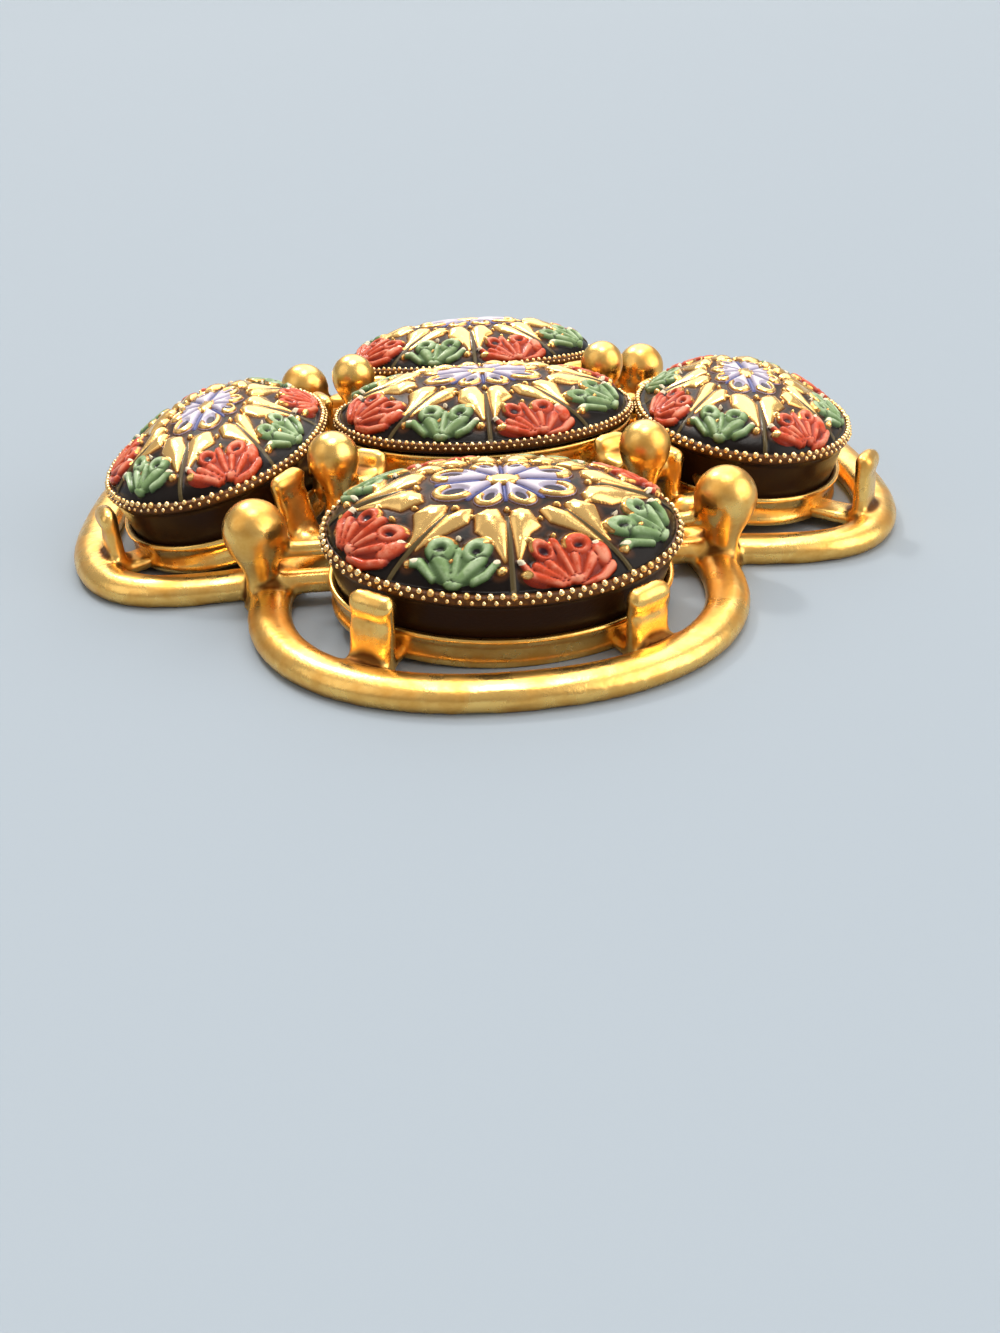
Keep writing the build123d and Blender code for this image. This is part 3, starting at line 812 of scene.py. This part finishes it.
claws = {
    "width": 3.15, "thickness": 1.25, "gap": 0.25, "drop": 0.05, "lean": 0.7, "share": 0.72,
    "splay": np.radians(30), "footWidening": 0.10, "rings": 40, "around": 28, "round": (0.55, 0.6),
    # Drop below the top, spread, then more thickness, further out and more width
    "crease": (1.75, 0.22, -0.22, -0.10, 0.0), "pad": (0.75, 0.65, 0.22, 0.06, 0.15),
    "closing": (0.6, 0.02, 0.35),  # length, thinnest, power of the width
    "toe": (-1.0, 2.6, 0.55, 8), "toeRound": (0.5, 0.5),  # start, reach, half height, rings
    # (seat, side, end): further out, higher, and nearer the short axis
    "apart": {("right", -1, -1): (1.5, 0.5, 0.0), ("left", -1, -1): (0.5, 0.5, 0.0),
              ("front", -1, -1): (0.0, 0.2, 0.55), ("front", -1, 1): (0.0, 0.0, 0.7)},
}
rods = {"strut": 1.3, "strutHeight": 1.5, "strutIn": 0.68, "rung": 0.95, "rungHeight": 1.7,
        "upperRung": 0.65, "upperRungHeight": 4.25, "rungIn": 0.6, "around": 20, "rings": 12,
        "capRings": 6, "capStart": 0.12, "aside": (0.3, 0.2, 1)}
melt = {
    "voxel": 0.264, "smoothing": 8, "smoothShare": 0.5, "cavityReach": 14, "cavityGain": 4.0,
    # Small cast lumps in the corners, balls stretched by half axes: x, y, height, half axes
    "lumpRings": (12, 24),
    "lumps": [(-16.7, -10.0, 4.2, 1.3, 1.0, 0.9), (-12.9, -7.0, 5.2, 1.1, 1.2, 1.6),
              (-14.6, -12.0, 2.6, 1.8, 1.5, 1.2), (-14.3, -4.9, 6.0, 0.9, 1.3, 1.1),
              (12.8, -9.0, 5.6, 1.3, 1.1, 1.2), (10.6, -6.7, 5.9, 1.2, 1.0, 1.0),
              (14.8, -6.2, 5.4, 1.1, 1.3, 1.3), (15.4, -11.3, 2.8, 1.8, 1.5, 1.3),
              (18.3, -10.6, 4.3, 1.2, 0.9, 0.9), (14.3, -3.4, 6.2, 0.9, 1.2, 1.0),
              (-13.6, 8.3, 5.0, 1.3, 1.2, 1.3), (14.0, 8.0, 5.0, 1.3, 1.2, 1.3)],
}


def sweep(path, section):
    # Section (out, up) carried along a path of points and kept upright
    ahead = unit(np.gradient(path, axis=0))
    side = unit(np.cross(ahead, (0, 0, 1)))
    top = np.cross(side, ahead)
    rings = path[:, None] + section[None, :, :1] * side[:, None] + section[None, :, 1:] * top[:, None]
    return closedTube(rings)


def wireSection():
    # Flat back, short upright sides and a domed top
    half, lower = wire["width"] / 2, wire["width"] / 2 - wire["foot"]
    turn = np.linspace(0, np.pi, wire["arc"])
    top = np.stack([half * np.cos(turn),
                    wire["side"] + (wire["height"] - wire["side"]) * np.sin(turn)], -1)
    cornerX, cornerY = lower + wire["footOut"], wire["footUp"]
    bottom = np.array([(-cornerX, cornerY), (-lower, 0.0), (-lower / 2, 0.0), (lower / 2, 0.0),
                       (lower, 0.0), (cornerX, cornerY)])
    return np.vstack([top, bottom])


def power(value, exponent):
    return np.sign(value) * np.abs(value) ** exponent


def lobePath(middle, margin, widening, shoulder, full, past, tail):
    # Full oval outside the shoulders, a longer oval on to the posts
    turn = np.linspace(-past, np.pi + past, wire["along"])
    half, shoulder = halfLong + widening, middle + shoulder
    reach = middle + halfWide + margin
    above = np.sin(turn) >= 0
    across = np.where(above, half * power(np.cos(turn), 2 / full), half * np.cos(turn))
    beyond = (reach - shoulder) * power(np.maximum(np.sin(turn), 0), 2 / full)
    out = shoulder + np.where(above, beyond, tail * np.sin(turn))
    run = lengthAlong(across, out)
    even = np.linspace(0, run[-1], wire["along"])
    return np.interp(even, run, across), np.interp(even, run, out)


def rodShell(start, finish, radius):
    # Round bar with ball ends
    start, finish = np.array(start, float), np.array(finish, float)
    length = np.linalg.norm(finish - start)
    ahead = (finish - start) / length
    cap = np.linspace(rods["capStart"], np.pi / 2, rods["capRings"])
    ends, bar = radius * np.cos(cap), np.linspace(0, length, rods["rings"])[1:-1]
    along = np.concatenate([-ends, bar, length + ends[::-1]])
    size = radius * np.concatenate([np.sin(cap), np.ones(len(bar)), np.sin(cap[::-1])])
    turn = circle(rods["around"])[:, None]
    side = unit(np.cross(ahead, rods["aside"]))
    other = np.cross(ahead, side)
    around = np.cos(turn) * side + np.sin(turn) * other
    return closedTube(start + along[:, None, None] * ahead + size[:, None, None] * around)


def postShell(x, y, height, radius):
    # Ball that runs into a stem like a drop, down to the back plane
    down, size = np.array(post["profile"], float).T * radius
    down[-1] = height
    fine = np.linspace(0, len(down) - 1, post["rings"])
    down, size = (np.interp(fine, np.arange(len(v)), v) for v in (down, size))
    size = np.maximum(size, post["thinnest"])
    return closedTube(ovalRings(size, size, -down, circle(post["around"])) + (x, y, height))


def boxSection(turn, roundX, roundY, width, height):
    return power(np.cos(turn), roundX) * width / 2, power(np.sin(turn), roundY) * height / 2


def clawShells(place, side, end, outer):
    # Strap of rounded section from the setting's floor up to a pad beside the rim, and its toe
    floor = cupFloor(place)
    further, higher, nearer = claws["apart"].get((place, side, end), (0.0, 0.0, 0.0))
    away = np.array([end * np.sin(claws["splay"]), side * np.cos(claws["splay"]), 0])
    flank = np.cross((0, 0, 1), away)
    cornerX = claws["share"] * halfLong - nearer
    cornerY = halfWide * np.sqrt(1 - claws["share"] ** 2) + nearer * 0.5
    centre = np.array([end * cornerX, side * cornerY, 0])
    top = higher - claws["drop"]
    height = top - floor
    t = np.linspace(0, 1, claws["rings"])
    level = floor + height * t
    lean = claws["lean"] if outer else 0.0
    out = claws["gap"] + claws["thickness"] / 2 + further + lean * (1 - t)
    thick = np.full(claws["rings"], claws["thickness"])
    wide = claws["width"] * (1 + claws["footWidening"] * (1 - t) ** 2)
    if place != "centre":
        for under, spread, thicker, further, wider in (claws["crease"], claws["pad"]):
            hump = np.exp(-((level - top + under) / spread) ** 2)
            thick, out, wide = thick + thicker * hump, out + further * hump, wide + wider * hump
    # The top closes in a quarter round
    length, thinnest, widthPower = claws["closing"]
    near = t * height > height - length
    closing = np.sqrt(np.clip(1 - ((t - 1) * height / length + 1) ** 2 * near, thinnest, 1))
    corner = circle(claws["around"])
    wide, thick = wide * closing ** widthPower, thick * closing
    boxX, boxY = boxSection(corner, *claws["round"], wide[:, None], thick[:, None])
    rings = (centre + out[:, None, None] * away + level[:, None, None] * np.array([0, 0, 1])
             + boxX[..., None] * flank + boxY[..., None] * away)
    strap = closedTube(placed(rings.reshape(-1, 3), place).reshape(rings.shape))
    # Low toe from under the setting out to the claw, and on to the wire
    start, reach, half, rows = claws["toe"]
    reach = claws["gap"] + claws["thickness"] + (reach if outer else 0)
    middle = centre + np.array([0, 0, floor + half])
    start, finish = middle + away * start, middle + away * reach
    line = np.linspace(0, 1, rows)[:, None] * (finish - start) + start
    square = boxSection(corner, *claws["toeRound"], claws["width"], 2 * half)
    points, quads, fans = sweep(line, np.stack(square, -1))
    return [strap, (placed(points, place), quads, fans)]


def wireShells():
    # The four lobes; the front and back ones lie midway between their own posts
    frontX, backX = ((posts[place + "Left"][0][0] + posts[place + "Right"][0][0]) / 2
                     for place in ("front", "back"))
    endAcross, endOut = lobePath(*wire["endLobe"])
    sideAcross, sideOut = lobePath(*wire["sideLobe"])
    paths = ((endAcross + frontX, -endOut), (endAcross + backX, endOut),
             (-sideOut, sideAcross), (sideOut, sideAcross))
    return [sweep(np.stack([*path, np.zeros(wire["along"])], -1), wireSection()) for path in paths]


def cornerShells(outer, inner):
    # Struts from post to post and on to the centre setting, and two pairs of rungs
    outerX, outerY = outer[:2]
    xSign, ySign = np.sign(outer[:2])
    centreFloor = seats["centre"][0][2] + cupFloor("centre")
    inner = (*inner[:2], rods["strutHeight"])
    edge = (xSign * rods["strutIn"] * footLong, ySign * rods["strutIn"] * footWide, centreFloor)
    shells = [rodShell((outerX, outerY, rods["strutHeight"]), inner, rods["strut"]),
              rodShell(inner, edge, rods["strut"])]
    for kind in ("rung", "upperRung"):
        level, inward = rods[kind + "Height"], rods["rungIn"] * halfLong
        for target in ((xSign * inward, outerY, level), (outerX, ySign * inward, level)):
            shells.append(rodShell((outerX, outerY, level), target, rods[kind]))
    return shells


def cageShells():
    ball = ballRings(*melt["lumpRings"])
    shells = [closedTube(ball * lump[3:] + lump[:3]) for lump in melt["lumps"]] + wireShells()
    shells += [postShell(*values) for ring in zip(*posts.values()) for values in ring]
    for outer, inner in posts.values():
        shells += cornerShells(outer, inner)
    for place in seats:
        middle, axes = seatOf(place)
        outerSide = np.sign(axes[1] @ (middle * (1, 1, 0)))
        for side in (-1, 1):
            for end in (-1, 1):
                shells += clawShells(place, side, end, side * outerSide > 0)
    return shells


def cavityOf(mesh, points):
    # How far the mean of a wide patch lies out along the normal, in mm
    ends = np.zeros(len(mesh.edges) * 2, np.int32)
    mesh.edges.foreach_get("vertices", ends)
    first, second = ends.reshape(-1, 2).T
    normals = np.zeros(len(points) * 3, np.float32)
    mesh.vertex_normals.foreach_get("vector", normals)
    size = len(points)
    count = np.bincount(first, minlength=size) + np.bincount(second, minlength=size)

    def average(values):
        total = np.bincount(first, values[second], size) + np.bincount(second, values[first], size)
        return total / np.maximum(count, 1)

    wide = points / metre
    for _ in range(melt["cavityReach"]):
        wide = np.stack([average(wide[:, axis]) for axis in range(3)], -1)
    return np.einsum("ij,ij->i", wide - points / metre, normals.reshape(-1, 3)) * melt["cavityGain"]


def meltTogether(name, shells):
    # Voxel surface over all shells, then a light smoothing, kept above the back plane
    raw = addObject(name + "_raw", makeMesh(name + "_raw", *gather(shells)))
    remesh = raw.modifiers.new("melt", "REMESH")
    remesh.mode = "VOXEL"
    remesh.voxel_size = melt["voxel"] * metre
    soften = raw.modifiers.new("soften", "SMOOTH")
    soften.factor = melt["smoothShare"]
    soften.iterations = melt["smoothing"]
    graph = bpy.context.evaluated_depsgraph_get()
    mesh = bpy.data.meshes.new_from_object(raw.evaluated_get(graph))
    bpy.data.objects.remove(raw)
    mesh.name = name
    points = np.zeros(len(mesh.vertices) * 3, np.float32)
    mesh.vertices.foreach_get("co", points)
    points = points.reshape(-1, 3)
    points[:, 2] = np.maximum(points[:, 2], 0)
    mesh.vertices.foreach_set("co", points.ravel())
    mesh.shade_smooth()
    mesh.update()
    addField(mesh, "cavity", cavityOf(mesh, points))
    return mesh


cageMesh = meltTogether("cage", cageShells())
makePiece("cage", cageMesh, cageGoldPaintedShade, "gold", "frame")
print("cage faces", len(cageMesh.polygons))


# The pin keeps its CAD solid and takes the plain metal
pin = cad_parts["pin"]
pin.data.materials.clear()
pin.data.materials.append(pinGold)
print("pin takes its metal")


# Floor and light; lengths of the floor in metres
studio = {
    "floor": (0.280, 0.322, 0.366), "floorRough": 0.9, "floorSpecular": 0.1, "below": 0.00002,
    "inner": (0.2, 0.8), "flat": 1.6, "reach": 6.0, "climb": 0.55, "rings": 24, "around": 96,
    "sky": (1, 0.97, 0.93), "skySpan": (-0.1, 0.9), "skyLevels": (0.30, 0.50),
    # Bright patches of sky: direction, cosines of edge and core, strength
    "softboxes": [((0.08, 0.62, 0.78), 0.78, 0.90, 2.6), ((-0.80, -0.25, 0.65), 0.88, 0.95, 0.6),
                  ((0.82, -0.35, 0.50), 0.80, 0.93, 2.6), ((0.03, 0.05, 1.0), 0.972, 0.984, 9.0)],
    "sun": 1.0, "sunAngle": np.radians(6), "sunColour": (1.0, 0.96, 0.90),
    "sunWay": (0.35, -0.75, -0.9),
}


def makeFloor():
    # Level disc that curls up far away, by the square of the share of the way out
    flatEnd, reach = studio["flat"], studio["reach"]
    radius = np.concatenate([studio["inner"], np.linspace(flatEnd, reach, studio["rings"])])
    share = np.clip((radius - flatEnd) / (reach - flatEnd), 0, 1)
    rings = ovalRings(radius, radius, studio["climb"] * share ** 2, circle(studio["around"]))
    points = np.vstack([rings.reshape(-1, 3), (0, 0, 0)])
    around = np.arange(studio["around"])
    fan = np.stack([np.full(len(around), len(points) - 1), around, (around + 1) % len(around)], -1)
    quads = ringFaces(len(radius), len(around))[:, ::-1]
    floor = addObject("floor", makeMesh("floor", points / metre, quads, fan))
    floor.location.z = -studio["below"]
    material, tree, shader = newMaterial("paleFloor")
    feedAll(tree, shader, {"Base Color": (*studio["floor"], 1), "Roughness": studio["floorRough"],
                           "Specular IOR Level": studio["floorSpecular"]})
    floor.data.materials.append(material)


def makeLight():
    # Sky that brightens upward, with a few softboxes, and one small sun
    world = bpy.data.worlds.new("studio")
    stage.world = world
    world.use_nodes = True
    tree = world.node_tree
    ground = tree.nodes["Background"]
    way = node(tree, "TexCoord").outputs["Generated"]
    upward = node(tree, "SeparateXYZ", Vector=way).outputs["Z"]
    total = ramp(tree, upward, *studio["skySpan"], *studio["skyLevels"])
    for direction, edge, core, strength in studio["softboxes"]:
        dot = node(tree, "VectorMath", operation="DOT_PRODUCT", Vector=way)
        dot.inputs[1].default_value = Vector(direction).normalized()
        patch = ramp(tree, dot.outputs["Value"], edge, core)
        total = calc(tree, "ADD", total, calc(tree, "MULTIPLY", patch, strength))
    feedAll(tree, ground, {"Strength": total, "Color": (*studio["sky"], 1)})
    sun = bpy.data.lights.new("key", "SUN")
    sun.energy, sun.angle, sun.color = studio["sun"], studio["sunAngle"], studio["sunColour"]
    lamp = addObject("key", sun)
    lamp.rotation_euler = Vector(studio["sunWay"]).to_track_quat("-Z", "Y").to_euler()


makeFloor()
makeLight()
settings = stage.view_settings
settings.view_transform = "Standard"
settings.look = "None"
settings.exposure = 0.0
print("floor and light made")
